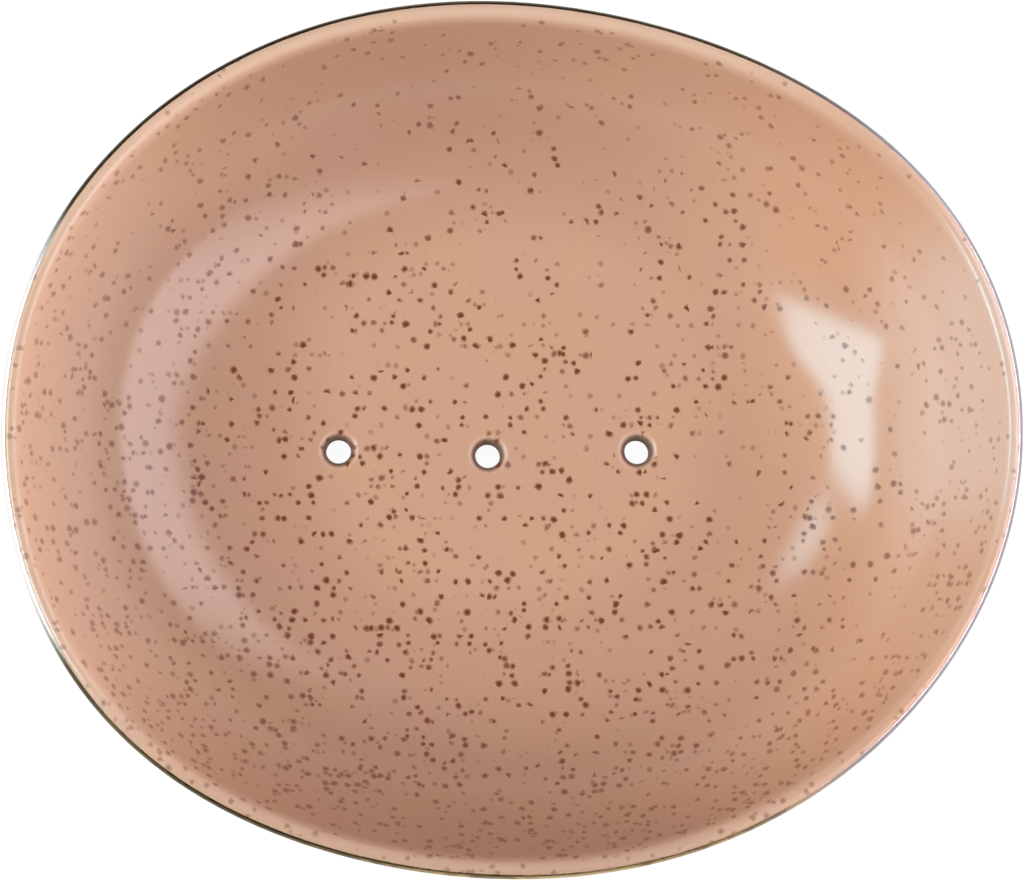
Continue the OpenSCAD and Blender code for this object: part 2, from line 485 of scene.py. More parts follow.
def swept_place(tree, source, outline, share_out, beyond, height):
    """Where a corner goes: its share of the way out to the lip's middle line, and a distance beyond."""
    parts = {"Z": height}
    for axis, half in (("X", "Half Length"), ("Y", "Half Width")):
        reach = line(tree, share_out, source[half], beyond)
        parts[axis] = product(tree, outline[axis], reach)
    return combined(tree, **parts)


def finish_tree(tree, source, mesh, **move):
    """Moves the sweep, closes the seam where it meets itself and gives the result its finish."""
    moved = put(tree, "GeometryNodeSetPosition", {"Geometry": mesh, **move}).outputs[0]
    merged = put(tree, "GeometryNodeMergeByDistance", {"Geometry": moved, "Distance": WELD}).outputs[0]
    smooth = put(tree, "GeometryNodeSetShadeSmooth", {"Geometry": merged}).outputs[0]
    real = put(tree, "GeometryNodeRealizeInstances", {"Geometry": smooth}).outputs[0]
    joined = {"Geometry": real, "Material": source["Material"]}
    put(tree, "NodeGroupOutput", {0: put(tree, "GeometryNodeSetMaterial", joined).outputs[0]})
    return tree


def sweep_group(name, *extra):
    """A new geometry tree with the inputs that every sweep has."""
    inputs = [
        ("Geometry", "NodeSocketGeometry"),
        ("Outline", "NodeSocketObject"),
        ("Section", "NodeSocketObject"),
        ("Columns", "NodeSocketInt", 64),
        ("Rows", "NodeSocketInt", 8),
        ("Half Length", "NodeSocketFloat", 0.0),
        ("Half Width", "NodeSocketFloat", 0.0),
        ("Material", "NodeSocketMaterial"),
    ]
    return node_group(name, "GeometryNodeTree", inputs + list(extra), [("Geometry", "NodeSocketGeometry")])


def shell_tree(name):
    """Sweeps the wall's section round the dish's outline."""
    tree, source = sweep_group(name)
    mesh, outline, section, _ = swept_grid(tree, source)
    place = swept_place(tree, source, outline, section["X"], section["Y"], section["Z"])
    return finish_tree(tree, source, mesh, Position=place)


def gilt_tree(name):
    """Lays a brushed line round the lip. A section's point is its way across the line, from its top
    edge to its bottom edge, then its depth under the crown of the line as a share."""
    titles = ("Lip Radius", "Lip Height", "Thickness", "Top Angle", "Bottom Angle", "Wander")
    tree, source = sweep_group(name, *((title, "NodeSocketFloat", 0.0) for title in titles))
    mesh, outline, section, column = swept_grid(tree, source)
    turn = calc(tree, "DIVIDE", product(tree, column, math.tau), source["Columns"])

    def wander(offset, pace):
        """A brush's wander round the lip, about zero."""
        place = combined(tree, X=calc(tree, "COSINE", turn), Y=calc(tree, "SINE", turn), Z=offset)
        rough = noisy(tree, place, pace, BRUSH_DETAIL)[0]
        return product(tree, calc(tree, "SUBTRACT", rough, 0.5), source["Wander"])

    top = calc(tree, "ADD", source["Top Angle"], wander(*BRUSH_ABOVE))
    bottom = calc(tree, "ADD", source["Bottom Angle"], wander(*BRUSH_BELOW))
    lean = line(tree, calc(tree, "SUBTRACT", bottom, top), section["X"], top)
    radius = line(tree, source["Thickness"], section["Y"], source["Lip Radius"])
    out = product(tree, radius, calc(tree, "COSINE", lean))
    up = line(tree, radius, calc(tree, "SINE", lean), source["Lip Height"])
    place = swept_place(tree, source, outline, 1.0, out, up)
    return finish_tree(tree, source, mesh, Position=place)


def foot_tree(name):
    """Turns a foot about its own axis. A section's point is its radius, then a height above the
    table, then a share of the height from the table to the dish above."""
    tree, source = sweep_group(
        name,
        ("Centre", "NodeSocketVector"),
        ("Carrier", "NodeSocketObject"),
        ("High", "NodeSocketFloat", 0.0),
    )
    mesh, outline, section, _ = swept_grid(tree, source)
    parts = {axis: product(tree, outline[axis], section["X"]) for axis in "XY"}
    centred = vector_calc(tree, "ADD", combined(tree, **parts), source["Centre"])[0]
    placed = put(tree, "GeometryNodeSetPosition", {"Geometry": mesh, "Position": centred}).outputs[0]
    carrier = put(tree, "GeometryNodeObjectInfo", {"Object": source["Carrier"]}).outputs["Geometry"]
    joined = {
        "Target Geometry": carrier,
        "Source Position": put(tree, "GeometryNodeInputPosition").outputs[0],
        "Ray Direction": (0.0, 0.0, 1.0),
        "Ray Length": source["High"],
    }
    above = split(tree, put(tree, "GeometryNodeRaycast", joined).outputs["Hit Position"])["Z"]
    lift = line(tree, section["Z"], above, section["Y"])
    return finish_tree(tree, source, placed, Offset=combined(tree, Z=lift))


# Mesh helpers


def linked(name, data):
    """A new object in the scene."""
    item = bpy.data.objects.new(name, data)
    bpy.context.scene.collection.objects.link(item)
    return item


def discard(*items):
    """Removes objects with their meshes."""
    for item in items:
        mesh = item.data
        bpy.data.objects.remove(item)
        bpy.data.meshes.remove(mesh)


def evaluated(holder):
    """The plain mesh that an object's modifiers make. The modifiers go."""
    bpy.context.view_layer.update()
    graph = bpy.context.evaluated_depsgraph_get()
    mesh = bpy.data.meshes.new_from_object(holder.evaluated_get(graph))
    holder.modifiers.clear()
    return mesh


@contextmanager
def opened(mesh):
    """A mesh's editable form, written back at the end."""
    form = bmesh.new()
    form.from_mesh(mesh)
    yield form
    form.to_mesh(mesh)
    form.free()


def helper_points(name, points):
    """An object that only carries a list of points for a geometry tree."""
    mesh = bpy.data.meshes.new(name)
    mesh.from_pydata(points, [], [])
    return linked(name, mesh)


def made_by(tree, name, outline, section, material, **values):
    """Runs a geometry tree on an outline and a section, and returns the result as a plain mesh."""
    helpers = [helper_points(name + "_outline", outline), helper_points(name + "_section", section)]
    carrier = helper_points(name + "_carrier", [])
    modifier = carrier.modifiers.new(tree.name, "NODES")
    modifier.node_group = tree
    named = {
        "Outline": helpers[0],
        "Section": helpers[1],
        "Columns": len(outline),
        "Rows": len(section),
        "Material": material,
    }
    named.update({key.replace("_", " ").title(): value for key, value in values.items()})
    for item in tree.interface.items_tree:
        if item.in_out == "INPUT" and item.name in named:
            modifier[item.identifier] = named[item.name]
    mesh = evaluated(carrier)
    mesh.name = name
    discard(carrier, *helpers)
    return mesh


def swept_wall(name, section, points, material):
    """The mesh of one side of the wall, swept round the outline."""
    return made_by(
        shared("Shell sweep", shell_tree),
        name,
        unit_outline(OUTLINE_STEPS),
        points,
        material,
        half_length=section.half_x,
        half_width=section.half_y,
    )


def drain_floor(form, section, height, hole_radius):
    """Fills the flat floor with triangles, apart from its round holes."""
    half_x = section.half_x * section.shape.flat_floor_share
    half_y = section.half_y * section.shape.flat_floor_share
    points = [Vector((p.x * half_x, p.y * half_y)) for p in unit_outline(OUTLINE_STEPS)]
    edges = [(i, (i + 1) % len(points)) for i in range(len(points))]
    for centre in HOLE_CENTRES:
        first = len(points)
        points += [centre + way_out(turn).to_2d() * hole_radius for turn in turns(HOLE_STEPS)]
        edges += [(first + step, first + (step + 1) % HOLE_STEPS) for step in range(HOLE_STEPS)]
    row_height = FLOOR_SPACING * math.sqrt(3) / 2
    rows = int(half_y / row_height)
    columns = int(half_x / FLOOR_SPACING)
    margin = hole_radius + FLOOR_SPACING / 2
    for row in range(-rows, rows + 1):
        for column in range(-columns, columns + 1):
            place = Vector(((column + (row % 2) / 2) * FLOOR_SPACING, row * row_height))
            inside = math.hypot(place.x / half_x, place.y / half_y) < 1 - FLOOR_SPACING / half_y
            if inside and all((place - centre).length > margin for centre in HOLE_CENTRES):
                points.append(place)
    places, _, faces, *_ = delaunay_2d_cdt(points, edges, [], 1, WELD)
    corners = [form.verts.new((*place, height)) for place in places]
    for face in faces:
        middle = sum((places[i] for i in face), Vector((0, 0))) / len(face)
        if all((middle - centre).length > hole_radius for centre in HOLE_CENTRES):
            form.faces.new([corners[i] for i in face])
    bmesh.ops.delete(form, geom=[v for v in corners if not v.link_faces], context="VERTS")


def ring(form, centre, radii, height):
    """New corners round a point, with a radius for each."""
    ways = [way_out(turn).to_2d() for turn in turns(HOLE_STEPS)]
    return [form.verts.new((*(centre + way * radius), height)) for way, radius in zip(ways, radii)]


def bridge(form, low, high):
    """Faces between two rings."""
    for step, corner in enumerate(low):
        after = (step + 1) % len(low)
        form.faces.new([corner, low[after], high[after], high[step]])


def hole_rings(form, centre, profile, layer):
    """Turns a profile about a hole's axis. Its rows hold a radius, a height and how far the mouth has turned
    down, which sets the hole's thin glaze and its painted highlight and shade.
    """
    below = None
    for radius, height, thin in profile:
        corners = ring(form, centre, [radius] * HOLE_STEPS, height)
        for corner in corners:
            corner[layer] = thin
        if below:
            bridge(form, below, corners)
        below = corners


def weld(form):
    """Merges the doubles and makes the faces agree."""
    bmesh.ops.remove_doubles(form, verts=form.verts, dist=WELD)
    bmesh.ops.recalc_face_normals(form, faces=form.faces)


def weld_open(form, up):
    """Welds an open form, and turns it so that its flat faces face up or down."""
    weld(form)
    flattest = max(form.faces, key=lambda face: abs(face.normal.z) * face.calc_area())
    if (flattest.normal.z > 0) != up:
        bmesh.ops.reverse_faces(form, faces=form.faces)


def wiping_cutter(name, feet, height):
    """The plug that wipes the glaze away round a foot."""
    centre = Vector(MOUNTS["rest_" + name]["pos_m"])
    reach = feet.root_radius + feet.bare_margin
    radii = [
        reach + noise.noise(centre / MM + way_out(turn) * WIPE_PACE) * feet.bare_margin / 2
        for turn in turns(HOLE_STEPS)
    ]
    mesh = bpy.data.meshes.new("wipe_" + name)
    with opened(mesh) as form:
        low, high = (ring(form, centre.to_2d(), radii, level) for level in (0.0, height))
        bridge(form, low, high)
        form.faces.new(list(reversed(low)))
        form.faces.new(high)
        bmesh.ops.recalc_face_normals(form, faces=form.faces)
    return linked("wipe_" + name, mesh)


def coat(name, mesh, thickness, cutters=()):
    """Gives an open surface the thickness of a coat, inwards, and cuts the cutters out of it."""
    holder = linked(name, mesh)
    solid = holder.modifiers.new("Thickness", "SOLIDIFY")
    solid.thickness = thickness
    solid.offset = -1
    solid.use_even_offset = True
    for cutter in cutters:
        cut = holder.modifiers.new("Cut", "BOOLEAN")
        cut.operation = "DIFFERENCE"
        cut.solver = "EXACT"
        cut.object = cutter
    result = evaluated(holder)
    discard(holder, *cutters)
    return result


def new_piece(name, mesh, material, slot, *replaced):
    """Links a finished mesh as a piece of the dish."""
    mesh.materials.clear()
    mesh.materials.append(material)
    mesh.shade_smooth()
    mesh.set_sharp_from_angle(angle=CREASE_ANGLE)
    piece = linked(name, mesh)
    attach(piece, BODY)
    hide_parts(*replaced)


# Finishes

# A speck's ragged edge: the pace and detail of its noise, and its reach as a share of the speck
RAGGED_PACE = 1.8
RAGGED_DETAIL = 1.0
RAGGED_REACH = 0.5

# The spread of the specks' sizes as a slope and a start, the share of a speck that is solid, and the
# part of the noise that the clouds take
SPECK_SIZES = (0.4, 0.6)
SPECK_CORE = 0.32
CLOUD_RANGE = (0.3, 0.7)


def speck_group(name):
    """Iron specks: round spots of mixed size at random places in the glaze."""
    tree, source = node_group(
        name,
        "ShaderNodeTree",
        [
            ("Vector", "NodeSocketVector"),
            ("Spacing", "NodeSocketFloat", 1.0),
            ("Largest Radius", "NodeSocketFloat", 0.3),
            ("Presence", "NodeSocketFloat", 0.5),
        ],
        [("Mask", "NodeSocketFloat"), ("Shade", "NodeSocketFloat")],
    )
    scale = calc(tree, "DIVIDE", 1.0, source["Spacing"])
    rough = noisy(tree, source["Vector"], product(tree, scale, RAGGED_PACE), RAGGED_DETAIL)
    reach = product(tree, source["Largest Radius"], RAGGED_REACH)
    ragged = vector_calc(tree, "MULTIPLY_ADD", rough["Color"], reach, source["Vector"])[0]
    joined = {"Vector": ragged, "Scale": scale, "Randomness": 1.0}
    cells = put(tree, "ShaderNodeTexVoronoi", joined, voronoi_dimensions="3D", feature="F1").outputs
    chance = put(tree, "ShaderNodeSeparateColor", {"Color": cells["Color"]}).outputs
    largest = calc(tree, "DIVIDE", source["Largest Radius"], source["Spacing"])
    radius = product(tree, largest, line(tree, chance["Red"], *SPECK_SIZES))
    core = product(tree, radius, SPECK_CORE)
    spot = soft_step(tree, cells["Distance"], radius, core)
    present = calc(tree, "LESS_THAN", chance["Green"], source["Presence"])
    mask = product(tree, spot, present)
    put(tree, "NodeGroupOutput", {"Mask": mask, "Shade": chance["Blue"]})
    return tree


def cloud_group(name):
    """Slow clouds of tone, from nought to one."""
    tree, source = node_group(
        name,
        "ShaderNodeTree",
        [
            ("Vector", "NodeSocketVector"),
            ("Size", "NodeSocketFloat", 1.0),
            ("Detail", "NodeSocketFloat", 3.0),
        ],
        [("Value", "NodeSocketFloat")],
    )
    rough = noisy(tree, source["Vector"], calc(tree, "DIVIDE", 1.0, source["Size"]), source["Detail"])[0]
    put(tree, "NodeGroupOutput", {"Value": soft_step(tree, rough, *CLOUD_RANGE)})
    return tree


def specks(tree, place, spacing, largest, presence):
    """Iron specks. Sizes are in metres, and presence is the share of places that hold one."""
    joined = {"Vector": place, "Spacing": spacing, "Largest Radius": largest, "Presence": presence}
    return put(tree, "ShaderNodeGroup", joined, node_tree=shared("Iron specks", speck_group)).outputs


def clouds(tree, place, size, detail=3.0):
    """Slow clouds of a size in metres."""
    joined = {"Vector": place, "Size": size, "Detail": detail}
    return put(tree, "ShaderNodeGroup", joined, node_tree=shared("Slow clouds", cloud_group)).outputs["Value"]


def grain(tree, place, size, detail):
    """A noise of a size in metres."""
    return noisy(tree, place, 1 / size, detail)[0]


def relief(tree, height, strength, distance):
    """A bumped normal."""
    joined = {"Strength": strength, "Distance": distance, "Height": height}
    return put(tree, "ShaderNodeBump", joined).outputs[0]


def new_finish(name):
    """A new empty material. Returns it with its tree and the object's place."""
    finish = bpy.data.materials.new(name)
    finish.use_nodes = True
    tree = finish.node_tree
    tree.nodes.clear()
    return finish, tree, put(tree, "ShaderNodeTexCoord").outputs["Object"]


def end_finish(tree, joined):
    """Ends a material in a Principled shader."""
    shader = put(tree, "ShaderNodeBsdfPrincipled", joined)
    put(tree, "ShaderNodeOutputMaterial", {"Surface": shader.outputs[0]})


def found(name, maker, *values):
    """A material that is made once."""
    return bpy.data.materials.get(name) or maker(name, *values)


GROUND_CLOUDS = 11 * MM

# Where the glaze's colour changes, mostly by painted light and shade. A row holds two places in millimetres,
# then the mask's value at each.
# Painted shade: the front and back walls darker
FRONT_SHADE = (-27, -60, 0.0, 0.55)
BACK_SHADE = (31, 56, 0.0, 0.32)
BACK_SHADE_LEFTWARDS = (30, -15, 0.4, 1.0)
# Painted warm light: the right wall warmer
RIGHT_WARM_LIGHT = (16, 54, 0.0, 0.45)
WIDTH_STRETCH = 1.15
# Painted shade in a ring at the foot of the wall, less towards the back right
WALL_FOOT_SHIFT = (0, 25, 0.0, 10 * MM)
WALL_FOOT_START = (20, 34, 0.0, 1.0)
WALL_FOOT_END = (60, 50, 0.0, 1.0)
WALL_FOOT_SLANT = 0.4
WALL_FOOT_LEFTWARDS = (52, 26, 0.0, 1.0)
WALL_FOOT_DEPTH = (-20, -34, 0.19, 0.24)
# Painted reflection: paler towards the end walls, most on the right
REFLECTION_MIDDLE = 9 * MM
REFLECTION_RIGHT = (46, 64, 0.0, 0.6)
REFLECTION_SIDEWAYS = (12, 28, 1.0, 0.2)
REFLECTION_LEFT = (-42, -64, 0.0, 0.16)
# The lip's crest: paler from thin glaze, and from painted light that varies round the lip
CREST_RISE = (28.6, 31.3, 0.0, 1.0)
CREST_SIDEWAYS = (15, 48, 0.3, 1.0)
CREST_BACKWARDS = (-10, 20, 0.45, 0.76)
CREST_RIGHTWARDS = (30, 55, 1.0, 0.5)

# Where the specks crowd, how the lip is spared, and how they fade outwards
CROWD_SLANT = 0.35
CROWD_FRONT = (60, -55, 0.11, 0.38)
CROWD_CLOUDS = (9 * MM, 2.0)
CROWD_CLOUD_SHARE = 0.3
LIP_SPARED = (29.6, 30.6, 0.15, 0.28)
SPECK_FADE = (40, 68, 1.0, 0.55)

# The glaze in a drain hole, by how far its mouth has turned down, and the strength of a speck, by its shade
# A paler halo, partly thin glaze and partly a painted highlight
HALO_RANGE = (0.05, 0.3, 0.0, 0.6)
# A dark edge inside the hole, partly glaze breaking brown and partly painted shade
EDGE_RANGE = (0.36, 0.78)
SPECK_STRENGTH = (0.0, 0.6, 0.78, 0.94)
SPECK_ROUGHNESS = 0.22
EDGE_ROUGHNESS = 0.8

# Relief is given as its strength and its depth, and grain as its size and its detail
PEEL = (2.2 * MM, 2.0)
PEEL_RELIEF = (0.06, 0.1 * MM)
SPECK_SINK = 0.35

# Fainter specks deeper in the glaze
FAINT_SHIFT = (0.3, 0.2, 0.1)
FAINT_SPACING = 1.3
FAINT_RADIUS = 0.8
FAINT_PRESENCE = 0.15
FAINT_STRENGTH = 0.45

# Bare clay: its clouds, its grit as spacing, largest radius and presence, and its grain
CLAY_CLOUDS = 6 * MM
GRIT = (0.8 * MM, 0.2 * MM, 0.35)
GRIT_STRENGTH = 0.6
CLAY_GRAIN = (0.45 * MM, 5.0)
CLAY_ROUGHNESS = (0.3, 0.7, 0.78, 0.95)
CLAY_RELIEF = (0.35, 0.12 * MM)

# The gold line's brush marks and clouds of wear, and where its painted reflections fall: more golden towards
# the front, greyish at the right end and creamy at the left end
GILT_FINE = (1.6 * MM, 4.0)
GILT_FINE_SHARE = 0.3
GILT_WORN = 14 * MM
GILT_WORN_SHARE = 0.9
GILT_UNEVEN = 0.18
GILT_RELIEF = (0.15, 0.03 * MM)
GILT_FRONT = (0, -30, 0.15, 1.0)
GILT_FRONT_RIGHTWARDS = (-34, 0, 0.3, 1.0)
GILT_GREY = (28, 60, 0.0, 1.0)
GILT_CREAM = (-60, -67, 0.0, 1.0)
GILT_SHINE = (0.9, 0.3, 0.25, 0.6)


def glaze_ground(tree, place, away, glaze):
    """The glaze's colour under its specks: painted shade on the front and back walls and at the foot of the
    wall, painted warm light on the right, painted reflection towards the end walls, and a lip crest paler
    from thin glaze and painted light.
    """
    across = split(tree, place)
    ground = mixed(tree, clouds(tree, place, GROUND_CLOUDS), rgba(glaze.ground), rgba(glaze.warm))
    # Painted shade on the front and back walls
    leftwards = band(tree, across["X"], BACK_SHADE_LEFTWARDS)
    back = product(tree, band(tree, across["Y"], BACK_SHADE), leftwards)
    painted_wall_shade = calc(tree, "ADD", band(tree, across["Y"], FRONT_SHADE), back)
    # Painted shade at the foot of the wall
    start = calc(tree, "SUBTRACT", away, band(tree, across["Y"], WALL_FOOT_SHIFT))
    aslant = line(tree, across["Y"], WALL_FOOT_SLANT, across["X"])
    wall_foot_shade = product(
        tree,
        band(tree, start, WALL_FOOT_START),
        band(tree, away, WALL_FOOT_END),
        band(tree, aslant, WALL_FOOT_LEFTWARDS),
        band(tree, across["X"], WALL_FOOT_DEPTH),
    )
    # Painted reflection towards the end walls
    centred = calc(tree, "ABSOLUTE", calc(tree, "SUBTRACT", across["Y"], REFLECTION_MIDDLE))
    right = product(tree, band(tree, across["X"], REFLECTION_RIGHT), band(tree, centred, REFLECTION_SIDEWAYS))
    ends = calc(tree, "ADD", right, band(tree, across["X"], REFLECTION_LEFT))
    # The lip's crest, paler from thin glaze and from painted light
    crest = product(
        tree,
        band(tree, across["Z"], CREST_RISE),
        band(tree, calc(tree, "ABSOLUTE", across["Y"]), CREST_SIDEWAYS),
        band(tree, across["Y"], CREST_BACKWARDS),
        band(tree, across["X"], CREST_RIGHTWARDS),
    )
    # Painted shade, painted warm light, painted reflection and the partly painted crest, laid over the
    # glaze's own colour
    for mask, tone in (
        (painted_wall_shade, glaze.painted_shade),
        (band(tree, across["X"], RIGHT_WARM_LIGHT), glaze.painted_warm_light),
        (wall_foot_shade, glaze.painted_shade),
        (ends, glaze.pale),
        (crest, glaze.crest),
    ):
        ground = mixed(tree, mask, ground, rgba(tone))
    return ground


def glaze_finish(name, glaze):
    """Rosy tan glaze with iron specks, a satin gloss and slow clouds of tone."""
    finish, tree, place = new_finish(name)
    across = split(tree, place)
    stretched = vector_calc(tree, "MULTIPLY", place, (1, WIDTH_STRETCH, 0))[0]
    away = vector_calc(tree, "LENGTH", stretched)["Value"]
    # How far the glaze has turned down into a drain hole; it sets the thin glaze there, and the painted
    # highlight and shade
    thin = put(tree, "ShaderNodeAttribute", attribute_name="thin_glaze").outputs["Fac"]
    ground = glaze_ground(tree, place, away, glaze)
    # A paler halo at the mouth, partly thin glaze and partly a painted highlight
    ground = mixed(tree, soft_step(tree, thin, *HALO_RANGE), ground, rgba(glaze.halo))
    # A dark edge inside the hole, partly glaze breaking brown and partly painted shade
    ground = mixed(tree, soft_step(tree, thin, *EDGE_RANGE), ground, rgba(glaze.edge))
    front = band(tree, line(tree, across["X"], CROWD_SLANT, across["Y"]), CROWD_FRONT)
    crowd = line(tree, clouds(tree, place, *CROWD_CLOUDS), CROWD_CLOUD_SHARE, front)
    presence = calc(tree, "SUBTRACT", crowd, band(tree, across["Z"], LIP_SPARED))
    iron = specks(tree, place, glaze.speck_spacing, glaze.speck_radius, presence)
    shade = soft_step(tree, iron["Shade"], *SPECK_STRENGTH)
    strength = product(tree, shade, band(tree, away, SPECK_FADE))
    dark = product(tree, iron["Mask"], strength)
    faint = specks(
        tree,
        vector_calc(tree, "ADD", place, FAINT_SHIFT)[0],
        glaze.speck_spacing * FAINT_SPACING,
        glaze.speck_radius * FAINT_RADIUS,
        FAINT_PRESENCE,
    )
    light = product(tree, faint["Mask"], FAINT_STRENGTH)
    spotted = mixed(tree, calc(tree, "MAXIMUM", dark, light), ground, rgba(glaze.speck))
    peel = grain(tree, place, *PEEL)
    height = calc(tree, "SUBTRACT", peel, product(tree, iron["Mask"], SPECK_SINK))
    on_specks = soft_step(tree, iron["Mask"], 0.0, 1.0, glaze.roughness, SPECK_ROUGHNESS)
    in_holes = soft_step(tree, thin, *EDGE_RANGE, glaze.roughness, EDGE_ROUGHNESS)
    joined = {
        "Base Color": spotted,
        "Specular Tint": rgba(glaze.sheen),
        "Roughness": calc(tree, "MAXIMUM", on_specks, in_holes),
        "Normal": relief(tree, height, *PEEL_RELIEF),
    }
    end_finish(tree, joined)
    return finish


def clay_finish(name):
    """Bare fired clay, matt and finely gritty."""
    finish, tree, place = new_finish(name)
    ground = mixed(tree, clouds(tree, place, CLAY_CLOUDS), CLAY_LIGHT, CLAY_DARK)
    grit = product(tree, specks(tree, place, *GRIT)["Mask"], GRIT_STRENGTH)
    rough = grain(tree, place, *CLAY_GRAIN)
    joined = {
        "Base Color": mixed(tree, grit, ground, CLAY_GRIT),
        "Roughness": soft_step(tree, rough, *CLAY_ROUGHNESS),
        "Normal": relief(tree, rough, *CLAY_RELIEF),
    }
    end_finish(tree, joined)
    return finish


def gilt_finish(name, gilt):
    """Brushed gold lustre, burnt to brown in clouds, with painted reflections: brown behind, more golden
    towards the front, greyish at the right end and creamy at the left end.
    """
    finish, tree, place = new_finish(name)
    across = split(tree, place)
    fine = clouds(tree, place, *GILT_FINE)
    worn = product(tree, clouds(tree, place, GILT_WORN), GILT_WORN_SHARE)
    # Painted reflection: more golden towards the front and the right, brown behind
    front = product(
        tree, band(tree, across["Y"], GILT_FRONT), band(tree, across["X"], GILT_FRONT_RIGHTWARDS)
    )
    burnt = line(tree, fine, GILT_FINE_SHARE, worn)
    shine = product(tree, soft_step(tree, burnt, *GILT_SHINE), front)
    coloured = mixed(tree, shine, rgba(gilt.brown), rgba(gilt.gold))
    # Painted reflections at the two ends
    coloured = mixed(tree, band(tree, across["X"], GILT_GREY), coloured, rgba(gilt.painted_grey_reflection))
    coloured = mixed(tree, band(tree, across["X"], GILT_CREAM), coloured, rgba(gilt.painted_cream_reflection))
    joined = {
        "Base Color": coloured,
        "Metallic": 1.0,
        "Roughness": soft_step(tree, fine, 0.0, 1.0, gilt.roughness, gilt.roughness + GILT_UNEVEN),
        "Normal": relief(tree, fine, *GILT_RELIEF),
    }
    end_finish(tree, joined)
    return finish


# One operator for each piece, and one for the stage


class DISH_OT_clay_body(bpy.types.Operator):
    """Gives the packed clay body its bare fired finish"""

    bl_idname = "dish.clay_body"
    bl_label = "Clay body"

    def execute(self, context):
        """Replaces the material in the body's slots."""
        material = found("bare_stoneware", clay_finish)
        for slot in frame["nodes"]["bowl_body"].material_slots:
            slot.material = material
        return {"FINISHED"}


class DISH_OT_inner_glaze(bpy.types.Operator):
    """Builds the glaze on the inside, over the lip and down the drain holes"""

    bl_idname = "dish.inner_glaze"
    bl_label = "Inner glaze"

    def execute(self, context):
        """Sweeps the wall, fills the floor, turns the mouths of the holes and adds the thickness."""
        shape = context.scene.dish_shape
        section = Section(shape)
        material = found("rosy_speckled_glaze", glaze_finish, context.scene.dish_glaze)
        wall = swept_wall("inner_glaze_coat", section, section.inner(), material)
        floor_height = shape.foot_height + shape.floor_thickness
        seam = GILT_HIGH.z - shape.lip_thickness / 2
        with opened(wall) as form:
            layer = form.verts.layers.float.new("thin_glaze")
            drain_floor(form, section, floor_height, HOLE_RADIUS + shape.mouth_radius)
            for centre in HOLE_CENTRES:
                hole_rings(form, centre, self.hole_profile(shape, floor_height), layer)
            weld_open(form, up=True)
            form.normal_update()
            moving = [v for v in form.verts if v.co.z < seam and v[layer] == 0]
            moves = [noise.noise(v.co / shape.wobble_size) * shape.hand_wobble * v.normal for v in moving]
            for corner, move in zip(moving, moves):
                corner.co += move
        mesh = coat("inner_glaze_coat", wall, shape.glaze_thickness)
        new_piece("inner_glaze_coat", mesh, material, GLAZE_SLOT, "inner_glaze")
        return {"FINISHED"}

    def hole_profile(self, shape, floor_height):
        """The rounded mouth and the straight wall of a drain hole, from the floor down."""
        mouth = shape.mouth_radius
        profile = []
        for turn in quarter_turns(MOUTH_STEPS):
            radius = HOLE_RADIUS + mouth * (1 - math.sin(turn))
            profile.append((radius, floor_height - mouth * (1 - math.cos(turn)), math.sin(turn)))
        wall_top = floor_height - mouth
        for step in range(1, HOLE_WALL_STEPS + 1):
            height = wall_top + (shape.foot_height - wall_top) * step / HOLE_WALL_STEPS
            profile.append((HOLE_RADIUS, height, 1))
        return profile


class DISH_OT_outer_glaze(bpy.types.Operator):
    """Builds the glaze on the outside and underside, wiped away round the feet"""

    bl_idname = "dish.outer_glaze"
    bl_label = "Outer glaze"

    def execute(self, context):
        """Sweeps the outer wall, fills the underside and cuts the bare rings round the feet."""
        shape = context.scene.dish_shape
        section = Section(shape)
        material = found("rosy_speckled_glaze", glaze_finish, context.scene.dish_glaze)
        wall = swept_wall("outer_glaze_coat", section, section.outer(), material)
        with opened(wall) as form:
            form.verts.layers.float.new("thin_glaze")
            drain_floor(form, section, shape.foot_height, HOLE_RADIUS + shape.glaze_thickness)
            weld_open(form, up=False)
        cutters = [wiping_cutter(name, context.scene.dish_feet, shape.height / 2) for name in FOOT_NAMES]
        mesh = coat("outer_glaze_coat", wall, shape.glaze_thickness, cutters)
        new_piece("outer_glaze_coat", mesh, material, GLAZE_SLOT, "outer_glaze")
        return {"FINISHED"}


class DISH_OT_gilt_line(bpy.types.Operator):
    """Paints the gold line round the outer edge of the lip"""

    bl_idname = "dish.gilt_line"
    bl_label = "Gold line"

    def execute(self, context):
        """Sweeps a thin domed line, closed underneath, round the lip."""
        shape = context.scene.dish_shape
        gilt = context.scene.dish_gilt
        section = Section(shape)
        material = found("gold_lustre", gilt_finish, gilt)
        ways = [i / GILT_STEPS for i in range(GILT_STEPS + 1)]
        over = [Vector((way, 1 - (2 * way - 1) ** GILT_SQUARENESS, 0)) for way in ways]
        under = [Vector((way, GILT_SINK, 0)) for way in reversed(ways)]
        mesh = made_by(
            shared("Brushed line", gilt_tree),
            "gilt_line",
            unit_outline(GILT_OUTLINE_STEPS),
            over + under + over[:1],
            material,
            half_length=section.half_x,
            half_width=section.half_y,
            lip_radius=section.lip_radius,
            lip_height=section.mid_lip,
            thickness=shape.gilt_thickness,
            top_angle=gilt.top_angle,
            bottom_angle=gilt.bottom_angle,
            wander=gilt.wander * 2,
        )
        with opened(mesh) as form:
            weld(form)
        new_piece("gilt_line", mesh, material, GILT_SLOT, "gilt_rim")
        return {"FINISHED"}


